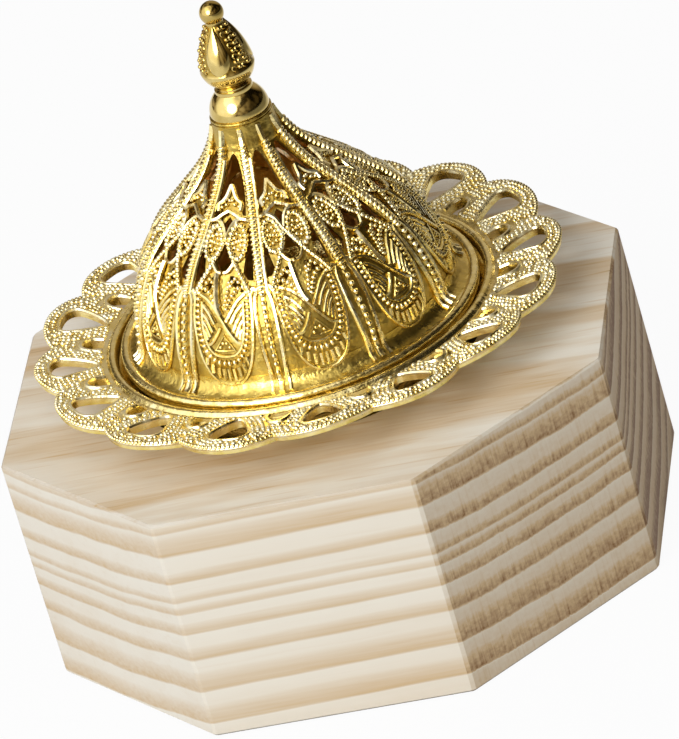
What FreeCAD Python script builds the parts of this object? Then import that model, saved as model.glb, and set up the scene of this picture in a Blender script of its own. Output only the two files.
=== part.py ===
import FreeCAD, Part
import Sketcher
import math
import os

# Table incense burner: a gilt cast dish with a pierced domed lid, set in an octagonal block
# of pine. The block's underside lies on the XY plane with its centre at the origin, Z is up,
# and one long side of the block faces -Y. Millimetres and degrees throughout.

os.makedirs("parts", exist_ok=True)
doc = FreeCAD.newDocument("incense_burner")
sheet = doc.addObject("Spreadsheet::Sheet", "Sizes")

# Driving sizes, a row of the sheet each
DRIVING = [
    # wooden block
    ("block_width", 100.0),
    ("block_height", 40.0),
    ("block_corner", 28.5),
    ("block_arris", 0.4),
    ("recess_depth", 12.0),
    ("recess_gap", 0.5),
    # cast dish: bowl
    ("seat_width", 1.8),
    ("bowl_draft", 1.4),
    ("bowl_wall", 2.1),
    ("bowl_floor", 2.0),
    ("bowl_corner", 3.0),
    ("bowl_shoulder", 3.0),
    # cast dish: seat and rolled rim round the lid
    ("seat_lift", 5.4),
    ("rim_lift", 7.4),
    ("rim_width", 1.4),
    # cast dish: openwork flange of petals, its openings at shares of its reach from the rim
    ("petal_count", 16),
    ("petal_reach", 11.9),
    ("petal_notch_depth", 2.7),
    ("petal_tip_width", 1.0),
    ("petal_tip_lift", 8.9),
    ("petal_thickness", 1.5),
    ("petal_swell", 0.35),
    ("eye_outer_share", 0.706),
    ("eye_wide_share", 0.487),
    ("eye_inner_share", 0.21),
    ("eye_width", 6.0),
    ("arch_outer_share", 0.252),
    ("arch_spring_share", 0.151),
    ("arch_inner_share", 0.059),
    ("arch_width", 2.3),
    # pierced lid: base ring and dome
    ("lid_gap", 0.9),
    ("ring_step", 3.1),
    ("ring_height", 2.6),
    ("ring_round", 1.0),
    ("dome_radius", 26.8),
    ("dome_wall", 1.5),
    ("dome_shoulder_angle", 48.0),
    ("throat_radius", 20.9),
    ("throat_top_angle", 13.0),
    ("throat_bore_angle", 17.5),
    ("neck_radius", 5.01),
    # pierced lid: ribs, and windows at shares of the dome's height and radius
    ("motif_count", 10),
    ("rib_width", 1.6),
    ("rib_relief", 0.7),
    ("window_top_share", 0.868),
    ("window_crown_share", 0.753),
    ("window_foot_share", 0.693),
    ("window_foot_width_share", 0.157),
    ("window_top_width_share", 0.075),
    ("slot_foot_share", 0.486),
    ("slot_top_share", 0.622),
    ("slot_foot_offset_share", 0.172),
    ("slot_top_offset_share", 0.116),
    ("slot_width_share", 0.049),
    ("lozenge_foot_share", 0.497),
    ("lozenge_top_share", 0.617),
    ("lozenge_width_share", 0.063),
    # finial
    ("collar_setback", 0.09),
    ("collar_shoulder_radius", 4.45),
    ("collar_shoulder_lift", 2.2),
    ("collar_height", 3.9),
    ("lip_radius", 3.1),
    ("lip_height", 0.6),
    ("groove_radius", 2.6),
    ("groove_height", 0.6),
    ("acorn_cup_radius", 4.1),
    ("acorn_cup_lift", 1.7),
    ("acorn_radius", 4.52),
    ("acorn_belly_lift", 3.6),
    ("acorn_shoulder_radius", 3.55),
    ("acorn_shoulder_lift", 7.5),
    ("acorn_height", 11.3),
    ("ball_radius", 2.0),
    ("ball_root_angle", 45.0),
    # screw that holds the finial to the lid
    ("screw_radius", 1.5),
    ("screw_length", 8.0),
    ("screw_head_radius", 2.7),
    ("screw_head_height", 1.7),
    ("screw_hole_gap", 0.1),
    ("thread_gap", 0.03),
    ("screw_end_gap", 0.6),
    # cuts run past the faces that they leave by this much
    ("overrun", 2.0),
]

for row, (alias, value) in enumerate(DRIVING, start=1):
    sheet.set("A%d" % row, alias)
    sheet.set("B%d" % row, "%g" % value)
    sheet.setAlias("B%d" % row, alias)
doc.recompute()


class Size:
    """A size worked out from the sheet: its value now, and the expression that gives it."""

    def __init__(self, value, text):
        self.value = value
        self.text = text

    def __add__(self, other):
        return Size(self.value + other.value, "(%s + %s)" % (self.text, other.text))

    def __sub__(self, other):
        return Size(self.value - other.value, "(%s - %s)" % (self.text, other.text))

    def __mul__(self, other):
        if isinstance(other, Size):
            return Size(self.value * other.value, "(%s * %s)" % (self.text, other.text))
        return Size(self.value * other, "(%s * %g)" % (self.text, other))

    def __truediv__(self, other):
        if isinstance(other, Size):
            return Size(self.value / other.value, "(%s / %s)" % (self.text, other.text))
        return self * (1 / other)

    def __neg__(self):
        return self * -1


def size(alias):
    return Size(float(sheet.get(alias)), "Sizes.%s" % alias)


def cosine(angle):
    return Size(math.cos(math.radians(angle.value)), "cos(%s)" % angle.text)


def sine(angle):
    return Size(math.sin(math.radians(angle.value)), "sin(%s)" % angle.text)


def part_of_turn(count, share):
    """The angle of one copy's pitch, or a share of it."""
    return Size(360 * share / count.value, "(%g / %s)" % (360 * share, count.text))


ZERO = Size(0.0, "0")
OVERRUN = size("overrun")


# Drawing helpers

def new_body(label):
    body = doc.addObject("PartDesign::Body", label)
    body.Label = label
    return body


def origin_feature(body, role):
    return next(one for one in body.Origin.OriginFeatures if one.Role == role)


def new_sketch(body, name, plane, lift=None, turn=None):
    """A sketch on one of the body's own planes, lifted off it or turned about its upright axis."""
    sketch = body.newObject("Sketcher::SketchObject", name)
    sketch.AttachmentSupport = [(origin_feature(body, plane), "")]
    sketch.MapMode = "FlatFace"
    if lift is not None:
        sketch.AttachmentOffset = FreeCAD.Placement(FreeCAD.Vector(0, 0, lift.value), FreeCAD.Rotation())
        sketch.setExpression("AttachmentOffset.Base.z", lift.text)
    if turn is not None:
        upright = FreeCAD.Rotation(FreeCAD.Vector(0, 1, 0), turn.value)
        sketch.AttachmentOffset = FreeCAD.Placement(FreeCAD.Vector(0, 0, 0), upright)
        sketch.setExpression("AttachmentOffset.Rotation.Angle", turn.text)
    return sketch


def tie(sketch, kind, axis, edge, end, distance):
    """Hold one end of an edge at a distance along X or Y from the sketch's origin."""
    if abs(distance.value) < 1e-9:
        sketch.addConstraint(Sketcher.Constraint("PointOnObject", edge, end, axis))
        return
    index = sketch.addConstraint(Sketcher.Constraint(kind, -1, 1, edge, end, distance.value))
    sketch.setExpression("Constraints[%d]" % index, distance.text)


def tie_point(sketch, edge, end, point):
    tie(sketch, "DistanceX", -2, edge, end, point[0])
    tie(sketch, "DistanceY", -1, edge, end, point[1])


def vector(point):
    return FreeCAD.Vector(point[0].value, point[1].value, 0)


def arc_through(start, middle, stop):
    """An anticlockwise arc through three points, and whether it runs from start to stop."""
    forward = (middle - start).cross(stop - middle).z > 0
    through = Part.Circle(start, middle, stop)
    circle = Part.Circle(through.Center, FreeCAD.Vector(0, 0, 1), through.Radius)
    first = circle.parameter(start if forward else stop)
    last = circle.parameter(stop if forward else start)
    if last < first:
        last = last + 2 * math.pi
    return Part.ArcOfCircle(circle, first, last), forward


def draw_outline(sketch, points):
    """A closed outline. An entry (x, y) is a corner, and (x, y, "bend") a point that an arc
    from the corner before it to the corner after it passes through."""
    corners = [point for point in points if len(point) == 2]
    edges = []
    for number, start in enumerate(corners):
        stop = corners[(number + 1) % len(corners)]
        follower = points[(points.index(start) + 1) % len(points)]
        if len(follower) == 3:
            arc, forward = arc_through(vector(start), vector(follower), vector(stop))
            edge = sketch.addGeometry(arc, False)
            ends = (1, 2) if forward else (2, 1)
            mark = sketch.addGeometry(Part.Point(vector(follower)), True)
            tie_point(sketch, mark, 1, follower)
            sketch.addConstraint(Sketcher.Constraint("PointOnObject", mark, 1, edge))
        else:
            edge = sketch.addGeometry(Part.LineSegment(vector(start), vector(stop)), False)
            ends = (1, 2)
        edges.append((edge, ends))
        tie_point(sketch, edge, ends[0], start)
    for number, (edge, ends) in enumerate(edges):
        following, following_ends = edges[(number + 1) % len(edges)]
        joint = Sketcher.Constraint("Coincident", edge, ends[1], following, following_ends[0])
        sketch.addConstraint(joint)


def draw_circle(sketch, radius):
    circle = Part.Circle(FreeCAD.Vector(0, 0, 0), FreeCAD.Vector(0, 0, 1), radius.value)
    edge = sketch.addGeometry(circle, False)
    sketch.addConstraint(Sketcher.Constraint("Coincident", edge, 3, -1, 1))
    index = sketch.addConstraint(Sketcher.Constraint("Radius", edge, radius.value))
    sketch.setExpression("Constraints[%d]" % index, radius.text)


def mirrored(points):
    """The same points on the other side of the sketch's upright axis, in the same sense."""
    return [(-point[0],) + tuple(point[1:]) for point in reversed(points)]


def extrude(body, kind, name, sketch, length, both_ways=False, other_way=False):
    feature = body.newObject("PartDesign::" + kind, name)
    feature.Profile = sketch
    feature.Length = length.value
    feature.setExpression("Length", length.text)
    feature.Midplane = both_ways
    feature.Reversed = other_way
    sketch.Visibility = False
    return feature


def spin(body, kind, name, sketch):
    """A full turn of the sketch about its upright axis."""
    feature = body.newObject("PartDesign::" + kind, name)
    feature.Profile = sketch
    feature.ReferenceAxis = (sketch, ["V_Axis"])
    feature.Angle = 360
    sketch.Visibility = False
    return feature


def repeat_round(body, name, features, count):
    """Copies of the features, evenly spaced round the Z axis."""
    pattern = body.newObject("PartDesign::PolarPattern", name)
    pattern.Originals = features
    pattern.Axis = (origin_feature(body, "Z_Axis"), [""])
    pattern.Angle = 360
    pattern.Occurrences = int(count.value)
    pattern.setExpression("Occurrences", count.text)
    body.Tip = pattern
    return pattern


def edge_names(shape, wanted):
    return ["Edge%d" % number for number, edge in enumerate(shape.Edges, start=1) if wanted(edge)]


# Heights and radii that several pieces share

block_top = size("block_height")
recess_floor = block_top - size("recess_depth")
seat_height = block_top + size("seat_lift")
rim_height = block_top + size("rim_lift")
dome_foot = seat_height + size("ring_height")
ring_radius = size("dome_radius") + size("ring_step")
well_radius = ring_radius + size("lid_gap")
rim_radius = well_radius + size("rim_width")
bowl_radius = well_radius - size("seat_width")
recess_radius = bowl_radius + size("recess_gap")
tip_radius = rim_radius + size("petal_reach")


# Wooden block: a square blank with its corners sawn off and a blind recess bored in its top

def make_wooden_base():
    body = new_body("wooden_base")
    half = size("block_width") / 2
    blank = new_sketch(body, "blank_outline", "XY_Plane")
    draw_outline(blank, [(-half, -half), (half, -half), (half, half), (-half, half)])
    extrude(body, "Pad", "blank", blank, block_top)
    doc.recompute()

    corners = body.newObject("PartDesign::Chamfer", "sawn_corners")
    upright = edge_names(body.Shape, lambda edge: abs(edge.tangentAt(edge.FirstParameter).z) > 0.5)
    corners.Base = (body.getObject("blank"), upright)
    corners.Size = size("block_corner").value
    corners.setExpression("Size", size("block_corner").text)
    doc.recompute()

    arrises = body.newObject("PartDesign::Chamfer", "sanded_arrises")
    arrises.Base = (corners, edge_names(corners.Shape, lambda edge: True))
    arrises.Size = size("block_arris").value
    arrises.setExpression("Size", size("block_arris").text)
    doc.recompute()

    mouth = new_sketch(body, "recess_outline", "XY_Plane", lift=recess_floor)
    draw_circle(mouth, recess_radius)
    extrude(body, "Pocket", "recess", mouth, size("recess_depth") + OVERRUN, other_way=True)
    return body


# Cast dish: a bowl that stands in the recess, a seat for the lid inside a rolled rim, and a
# flange of beaded petals that rises outwards clear of the wood

def petal_slope():
    """How far the flange climbs from the rim to the petals' tips."""
    return size("petal_tip_lift") - size("rim_lift") + size("rim_width") / 2


def make_dish():
    body = new_body("dish")
    foot_radius = bowl_radius - size("bowl_draft")
    corner = size("bowl_corner")
    inside_radius = bowl_radius - size("bowl_wall")
    inside_foot = foot_radius - size("bowl_wall")
    inside_floor = recess_floor + size("bowl_floor")
    thickness = size("petal_thickness")
    tip_top = block_top + size("petal_tip_lift")
    root_top = tip_top - petal_slope()
    shoulder = root_top - thickness - size("bowl_shoulder")
    round_share = 1 - math.sqrt(0.5)
    rim_middle = well_radius + size("rim_width") / 2

    profile = new_sketch(body, "dish_profile", "XZ_Plane")
    draw_outline(profile, [
        (ZERO, recess_floor),
        (foot_radius - corner, recess_floor),
        (foot_radius - corner * round_share, recess_floor + corner * round_share, "bend"),
        (foot_radius, recess_floor + corner),
        (bowl_radius, shoulder),
        (rim_radius, root_top - thickness),
        (tip_radius, tip_top - thickness),
        (tip_radius, tip_top),
        (rim_radius, root_top),
        (rim_middle, rim_height, "bend"),
        (well_radius, root_top),
        (well_radius, seat_height),
        (inside_radius, seat_height),
        (inside_foot, inside_floor + corner),
        (inside_foot - corner * round_share, inside_floor + corner * round_share, "bend"),
        (inside_foot - corner, inside_floor),
        (ZERO, inside_floor),
    ])
    spin(body, "Revolution", "dish_casting", profile)
    doc.recompute()

    cuts = [cut_notch(body), cut_eye(body), cut_arch(body)]
    doc.recompute()
    repeat_round(body, "petal_ring", cuts, size("petal_count"))
    return body


def cut_up(body, name, points):
    """Cut an outline, drawn in plan, through the flange from below the petals upwards."""
    sketch = new_sketch(body, name + "_outline", "XY_Plane", lift=block_top)
    draw_outline(sketch, points)
    depth = size("petal_tip_lift") + OVERRUN
    return extrude(body, "Pocket", name, sketch, depth, other_way=True)


def cut_notch(body):
    """The gap between two petals, whose outlines are pointed arches."""
    pitch = part_of_turn(size("petal_count"), 0.5)
    quarter = part_of_turn(size("petal_count"), 0.25)
    outside = tip_radius + OVERRUN
    tip_x = outside * cosine(pitch)
    tip_y = outside * sine(pitch) - size("petal_tip_width") / 2
    notch_radius = tip_radius - size("petal_notch_depth")
    middle = (notch_radius + tip_radius) / 2 + size("petal_swell")
    bend_x = middle * cosine(quarter)
    bend_y = middle * sine(quarter)
    return cut_up(body, "notch", [
        (notch_radius, ZERO),
        (bend_x, -bend_y, "bend"),
        (tip_x, -tip_y),
        (outside + OVERRUN, -tip_y),
        (outside + OVERRUN, tip_y),
        (tip_x, tip_y),
        (bend_x, bend_y, "bend"),
    ])


def along_petal(share):
    """The radius that lies at this share of the petals' reach out from the rim."""
    return rim_radius + size("petal_reach") * size(share)


def turned(points, angle):
    """Plan points turned about the Z axis."""
    across = cosine(angle)
    up = sine(angle)
    return [(p[0] * across - p[1] * up, p[0] * up + p[1] * across) + tuple(p[2:]) for p in points]


def cut_eye(body):
    """The drop-shaped eye in the middle of a petal, its point towards the rim."""
    half = size("eye_width") / 2
    return cut_up(body, "eye", turned([
        (along_petal("eye_inner_share"), ZERO),
        (along_petal("eye_wide_share"), -half),
        (along_petal("eye_outer_share"), ZERO, "bend"),
        (along_petal("eye_wide_share"), half),
    ], part_of_turn(size("petal_count"), 0.5)))


def cut_arch(body):
    """The small arch between the feet of two petals, beside the rim."""
    half = size("arch_width") / 2
    return cut_up(body, "arch", [
        (along_petal("arch_inner_share"), -half),
        (along_petal("arch_spring_share"), -half),
        (along_petal("arch_outer_share"), ZERO, "bend"),
        (along_petal("arch_spring_share"), half),
        (along_petal("arch_inner_share"), half),
    ])


# Lid: a pierced dome on a rounded base ring. Its outline is a quarter-round shoulder, a short
# straight cone and a hollow throat, each tangent to the next.

def cone_length():
    """The length of cone that leaves the neck its own radius, whatever the dome's is."""
    lean = size("dome_shoulder_angle")
    across = (size("dome_radius") + size("throat_radius")) * cosine(lean)
    throat = size("throat_radius") * cosine(size("throat_top_angle"))
    return (across - throat - size("neck_radius")) / sine(lean)


def dome_line(offset, top_lean):
    """The dome's outline from its foot to its neck, moved outwards by the offset: the shoulder's
    start, bend and end, then the throat's start, bend and end."""
    lean = size("dome_shoulder_angle")
    shoulder = size("dome_radius") + offset
    cone = cone_length()
    start = (shoulder * cosine(lean) - cone * sine(lean),
             dome_foot + shoulder * sine(lean) + cone * cosine(lean))
    centre_reach = size("dome_radius") + size("throat_radius")
    centre = (centre_reach * cosine(lean) - cone * sine(lean),
              dome_foot + centre_reach * sine(lean) + cone * cosine(lean))
    throat = size("throat_radius") - offset

    def on_throat(angle):
        return (centre[0] - throat * cosine(angle), centre[1] - throat * sine(angle))

    return [
        (shoulder, dome_foot),
        (shoulder * cosine(lean / 2), dome_foot + shoulder * sine(lean / 2), "bend"),
        (shoulder * cosine(lean), dome_foot + shoulder * sine(lean)),
        start,
        on_throat((lean + top_lean) / 2) + ("bend",),
        on_throat(top_lean),
    ]


neck_top = dome_line(ZERO, size("throat_top_angle"))[-1][1]
dome_height = neck_top - dome_foot
neck_bore_end = dome_line(-size("dome_wall"), size("throat_bore_angle"))[-1]


def make_lid():
    body = new_body("lid")
    outside = dome_line(ZERO, size("throat_top_angle"))
    inside = dome_line(-size("dome_wall"), size("throat_bore_angle"))
    inner_radius = size("dome_radius") - size("dome_wall")
    hole = size("screw_radius") + size("screw_hole_gap")
    edge = size("ring_round")
    round_share = 1 - math.sqrt(0.5)

    profile = new_sketch(body, "lid_profile", "XZ_Plane")
    draw_outline(profile, [
        (inner_radius, seat_height),
        (ring_radius - edge, seat_height),
        (ring_radius - edge * round_share, seat_height + edge * round_share, "bend"),
        (ring_radius, seat_height + edge),
        (ring_radius, dome_foot - edge),
        (ring_radius - edge * round_share, dome_foot - edge * round_share, "bend"),
        (ring_radius - edge, dome_foot),
    ] + outside + [
        (hole, neck_top),
        (hole, neck_bore_end[1]),
    ] + list(reversed(inside)))
    spin(body, "Revolution", "lid_casting", profile)
    doc.recompute()

    cuts = cut_windows(body)
    doc.recompute()
    repeat_round(body, "window_ring", cuts, size("motif_count"))
    doc.recompute()
    rib = add_rib(body)
    doc.recompute()
    repeat_round(body, "rib_ring", [rib], size("motif_count"))
    return body


def cut_windows(body):
    """One bay of openings between two ribs: the tall window over a leaf-shaped crown, and below
    it a lozenge between two leaning slots."""
    turn = part_of_turn(size("motif_count"), 0.5)
    reach = size("dome_radius") + OVERRUN

    def up(share):
        return dome_foot + dome_height * size(share)

    def across(share):
        return size("dome_radius") * size(share)

    def cut(name, points):
        sketch = new_sketch(body, name + "_outline", "XZ_Plane", turn=turn)
        draw_outline(sketch, points)
        return extrude(body, "Pocket", name, sketch, reach, other_way=True)

    window_foot = up("window_foot_share")
    window_top = up("window_top_share")
    foot = across("window_foot_width_share") / 2
    top = across("window_top_width_share") / 2
    window = cut("crown_window", [
        (ZERO, up("window_crown_share")),
        (foot, window_foot),
        (top, window_top - top),
        (ZERO, window_top, "bend"),
        (-top, window_top - top),
        (-foot, window_foot),
    ])

    slot_foot = up("slot_foot_share")
    slot_top = up("slot_top_share")
    foot_offset = across("slot_foot_offset_share")
    top_offset = across("slot_top_offset_share")
    width = across("slot_width_share") / 2
    slot = [
        (foot_offset - width, slot_foot),
        (foot_offset + width, slot_foot),
        (top_offset + width, slot_top),
        (top_offset - width, slot_top),
    ]
    right_slot = cut("right_slot", slot)
    left_slot = cut("left_slot", mirrored(slot))

    lozenge_foot = up("lozenge_foot_share")
    lozenge_top = up("lozenge_top_share")
    middle = (lozenge_foot + lozenge_top) / 2
    side = across("lozenge_width_share") / 2
    lozenge = cut("lozenge", [
        (ZERO, lozenge_foot),
        (side, middle),
        (ZERO, lozenge_top),
        (-side, middle),
    ])
    return [window, right_slot, left_slot, lozenge]


def add_rib(body):
    """A raised rib that follows the dome's outline from the base ring to the neck."""
    outside = dome_line(size("rib_relief"), size("throat_top_angle"))
    inside = dome_line(-size("dome_wall") / 2, size("throat_bore_angle"))
    sketch = new_sketch(body, "rib_outline", "XZ_Plane")
    draw_outline(sketch, outside + list(reversed(inside)))
    return extrude(body, "Pad", "rib", sketch, size("rib_width"), both_ways=True)


# Finial: one turned piece, a domed collar, a thin lip, an acorn and a ball

def make_finial():
    body = new_body("finial")
    base = neck_top
    collar_top = base + size("collar_height")
    lip_top = collar_top + size("lip_height")
    acorn_foot = lip_top + size("groove_height")
    acorn_top = acorn_foot + size("acorn_height")
    ball = size("ball_radius")
    root_radius = ball * sine(size("ball_root_angle"))
    ball_centre = acorn_top + ball * cosine(size("ball_root_angle"))
    bore = size("screw_radius") + size("thread_gap")
    bore_top = neck_bore_end[1] + size("screw_length") + size("screw_end_gap")

    profile = new_sketch(body, "finial_profile", "XZ_Plane")
    draw_outline(profile, [
        (bore, base),
        (size("neck_radius") - size("collar_setback"), base),
        (size("collar_shoulder_radius"), base + size("collar_shoulder_lift"), "bend"),
        (size("lip_radius"), collar_top),
        (size("lip_radius"), lip_top),
        (size("groove_radius"), lip_top),
        (size("groove_radius"), acorn_foot),
        (size("acorn_cup_radius"), acorn_foot + size("acorn_cup_lift"), "bend"),
        (size("acorn_radius"), acorn_foot + size("acorn_belly_lift")),
        (size("acorn_shoulder_radius"), acorn_foot + size("acorn_shoulder_lift"), "bend"),
        (root_radius, acorn_top),
        (ball, ball_centre, "bend"),
        (ZERO, ball_centre + ball),
        (ZERO, bore_top),
        (bore, bore_top),
    ])
    spin(body, "Revolution", "finial_turning", profile)
    return body


# Screw: a plain machine screw up through the neck into the finial, its head inside the dome

def make_finial_screw():
    body = new_body("finial_screw")
    seat = neck_bore_end[1]
    head = size("screw_head_radius")
    head_foot = seat - size("screw_head_height")
    crown = size("screw_head_height") / 2
    profile = new_sketch(body, "screw_profile", "XZ_Plane")
    draw_outline(profile, [
        (ZERO, head_foot),
        (head * math.sqrt(0.5), head_foot + crown * (1 - math.sqrt(0.5)), "bend"),
        (head, head_foot + crown),
        (head, seat),
        (size("screw_radius"), seat),
        (size("screw_radius"), seat + size("screw_length")),
        (ZERO, seat + size("screw_length")),
    ])
    spin(body, "Revolution", "screw_turning", profile)
    return body


sub_parts = [make_wooden_base(), make_dish(), make_lid(), make_finial(), make_finial_screw()]
doc.recompute()

for item in doc.Objects:
    if "Invalid" in item.State or "Error" in item.State:
        raise RuntimeError("%s did not build: %s" % (item.Name, item.State))
for sub_part in sub_parts:
    shape = sub_part.Shape
    if shape.isNull() or not shape.isValid():
        raise RuntimeError("%s has no valid shape" % sub_part.Label)

for sub_part in sub_parts:
    sub_part.Shape.exportStep("parts/%s.step" % sub_part.Label)
    print(sub_part.Label, "solids", len(sub_part.Shape.Solids), "volume", round(sub_part.Shape.Volume))
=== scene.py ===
from math import atan2, cos, degrees, hypot, pi, radians, sin, sqrt
from random import Random

import bpy
from mathutils import Matrix, Vector


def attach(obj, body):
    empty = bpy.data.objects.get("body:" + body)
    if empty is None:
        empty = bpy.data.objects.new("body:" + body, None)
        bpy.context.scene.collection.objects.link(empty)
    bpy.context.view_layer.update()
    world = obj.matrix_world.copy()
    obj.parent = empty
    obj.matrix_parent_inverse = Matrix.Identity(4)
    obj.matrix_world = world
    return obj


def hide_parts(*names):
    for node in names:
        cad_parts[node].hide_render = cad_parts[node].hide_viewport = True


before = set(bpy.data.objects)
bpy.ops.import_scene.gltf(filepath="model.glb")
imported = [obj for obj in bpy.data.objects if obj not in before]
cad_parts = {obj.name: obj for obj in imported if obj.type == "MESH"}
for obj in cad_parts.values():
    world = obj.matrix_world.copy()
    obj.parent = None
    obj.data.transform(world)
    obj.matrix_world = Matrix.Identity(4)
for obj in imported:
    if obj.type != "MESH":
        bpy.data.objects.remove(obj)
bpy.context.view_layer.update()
MM = 0.001


# The picture: a long lens looks down on the burner from its right front corner, a little
# askew. The burner stands on a pale floor in soft light that comes from its left front.

CAMERA_PLACE = (0.2925, -1.2257, 0.6988)
CAMERA_AZIMUTH = radians(13.273)
CAMERA_ELEVATION = radians(27.816)
CAMERA_ROLL = radians(-16.555)
CAMERA_LENS = 426.4
CAMERA_SHIFT = 0.0027
SENSOR_HEIGHT = 36.0
LOOKED_AT = Vector((0.0, 0.0, 0.05))

backward = Vector((sin(CAMERA_AZIMUTH) * cos(CAMERA_ELEVATION),
                   -cos(CAMERA_AZIMUTH) * cos(CAMERA_ELEVATION), sin(CAMERA_ELEVATION)))
level = Vector((cos(CAMERA_AZIMUTH), sin(CAMERA_AZIMUTH), 0.0))
rise = backward.cross(level)
across = level * cos(CAMERA_ROLL) + rise * sin(CAMERA_ROLL)
upward = rise * cos(CAMERA_ROLL) - level * sin(CAMERA_ROLL)

bpy.ops.object.camera_add(location=CAMERA_PLACE)
camera = bpy.context.object
camera.rotation_euler = Matrix((across, upward, backward)).transposed().to_euler()
camera.data.sensor_fit = "VERTICAL"
camera.data.sensor_height = SENSOR_HEIGHT
camera.data.lens = CAMERA_LENS
camera.data.shift_y = CAMERA_SHIFT
camera.data.clip_end = 10.0
bpy.context.scene.camera = camera
bpy.context.scene.view_settings.view_transform = "Standard"


def feed(node, feeds):
    """Feed inputs of a shader node, each with a value or with another node's output."""
    for socket, value in feeds.items():
        if isinstance(value, bpy.types.NodeSocket):
            node.id_data.links.new(value, node.inputs[socket])
        else:
            node.inputs[socket].default_value = value


def add_node(tree, kind, feeds=None, **settings):
    """A new shader node of this kind with its settings and what its inputs are fed with."""
    node = tree.nodes.new("ShaderNode" + kind)
    for name, value in settings.items():
        setattr(node, name, value)
    feed(node, feeds or {})
    return node


def maths(tree, operation, *values):
    """The output of a Math node with these values."""
    return add_node(tree, "Math", dict(enumerate(values)), operation=operation).outputs[0]


def map_range(tree, value, start, stop, low=0.0, high=1.0):
    """The value carried from the range start to stop over to the range low to high."""
    return add_node(tree, "MapRange", {
        "Value": value, "From Min": start, "From Max": stop, "To Min": low, "To Max": high}).outputs[0]


def blend(tree, share, first, second):
    """The first colour, with this share of the second."""
    return add_node(tree, "Mix", {"Factor": share, "A": first, "B": second},
                    data_type="RGBA").outputs["Result"]


def towards(tree, direction, aim):
    """How squarely a direction points at this aim, up to 1."""
    return add_node(tree, "VectorMath", {0: direction, 1: aim},
                    operation="DOT_PRODUCT").outputs["Value"]


def seen_directly(tree):
    """1 for rays that come from the lens or off metal and glass, 0 for the light on the object."""
    ray = add_node(tree, "LightPath").outputs
    total = maths(tree, "ADD", ray["Is Camera Ray"], ray["Is Glossy Ray"])
    total = maths(tree, "ADD", total, ray["Is Transmission Ray"])
    return maths(tree, "MINIMUM", total, 1.0)


def lamp(name, place, size, power):
    """A round area lamp turned to the burner."""
    bpy.ops.object.light_add(type="AREA", location=place)
    light = bpy.context.object
    light.name = name
    light.rotation_euler = (LOOKED_AT - Vector(place)).to_track_quat("-Z", "Y").to_euler()
    light.data.shape = "DISK"
    light.data.size = size
    light.data.energy = power


lamp("window_light", (-0.42, -1.06, 0.74), 0.90, 12.3)
lamp("ceiling_light", (-0.30, -0.55, 1.25), 1.60, 5.1)

LIGHT_SIDE = Vector((-0.72, -0.52, 0.46))
BACK_WALL = Vector((0.12, 0.90, 0.42))
COOL_SIDE = Vector((-0.94, 0.10, 0.33))
ROOM_WARM = (1.0, 0.96, 0.89, 1.0)
ROOM_COOL = (0.86, 0.95, 1.16, 1.0)
ROOM_STRENGTH = 0.36
MIRROR_TINT = (1.0, 0.74, 0.38, 1.0)
WHITE = (1.0, 1.0, 1.0, 1.0)

world = bpy.data.worlds.new("studio")
world.use_nodes = True
bpy.context.scene.world = world
sky = world.node_tree
sky.nodes.clear()
direction = add_node(sky, "TexCoord").outputs["Generated"]
# what the metal mirrors: a bright window, a pale back wall and the patches of a dim room
to_window = towards(sky, direction, LIGHT_SIDE)
window_glow = map_range(sky, to_window, 0.60, 0.82, 0.0, 1.5)
patches = add_node(sky, "TexNoise", {"Vector": direction, "Scale": 2.3, "Detail": 1.0})
patches = map_range(sky, patches.outputs["Fac"], 0.46, 0.60, 0.06, 0.62)
patches = maths(sky, "MULTIPLY", patches, map_range(sky, to_window, -0.2, 0.5, 0.10, 1.0))
wall_glow = map_range(sky, towards(sky, direction, BACK_WALL), 0.80, 0.94, 0.0, 0.5)
mirrored_room = maths(sky, "MAXIMUM", wall_glow, maths(sky, "MAXIMUM", window_glow, patches))
is_camera = add_node(sky, "LightPath").outputs["Is Camera Ray"]
backdrop = add_node(sky, "Mix", {0: is_camera, 2: mirrored_room, 3: 1.0}).outputs[0]
warmth = blend(sky, backdrop, MIRROR_TINT, WHITE)
seen = add_node(sky, "Background", {"Color": warmth, "Strength": backdrop})
# the soft light on the object: cool from the left, warm from elsewhere
coolness = map_range(sky, towards(sky, direction, COOL_SIDE), 0.1, 0.9)
room_colour = blend(sky, coolness, ROOM_WARM, ROOM_COOL)
room = add_node(sky, "Background", {"Color": room_colour, "Strength": ROOM_STRENGTH})
both = add_node(sky, "MixShader", {
    0: seen_directly(sky), 1: room.outputs[0], 2: seen.outputs[0]})
add_node(sky, "OutputWorld", {"Surface": both.outputs[0]})

FLOOR_GREY = (0.62, 0.62, 0.62, 1.0)
FLOOR_GLOW = 0.95
FLOOR_DROP = 0.05 * MM

bpy.ops.mesh.primitive_plane_add(size=6.0, location=(0.0, 0.0, -FLOOR_DROP))
floor = bpy.context.object
floor.name = "floor"
paper = bpy.data.materials.new("paper_floor")
paper.use_nodes = True
tree = paper.node_tree
tree.nodes.clear()
matt = add_node(tree, "BsdfDiffuse", {"Color": FLOOR_GREY})
# the lens sees it white all over, and the metal mirrors it dimmer on the right
across_floor = add_node(tree, "SeparateXYZ", {
    0: add_node(tree, "TexCoord").outputs["Object"]})
shine = map_range(tree, across_floor.outputs["X"], 0.04, 0.30, 1.0, 0.25)
is_camera = add_node(tree, "LightPath").outputs["Is Camera Ray"]
glow = add_node(tree, "Emission", {
    "Color": WHITE, "Strength": maths(tree, "MAXIMUM", is_camera, shine)})
share = maths(tree, "MULTIPLY", seen_directly(tree), FLOOR_GLOW)
mixed = add_node(tree, "MixShader", {0: share, 1: matt.outputs[0], 2: glow.outputs[0]})
add_node(tree, "OutputMaterial", {"Surface": mixed.outputs[0]})
floor.data.materials.append(paper)


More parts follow.
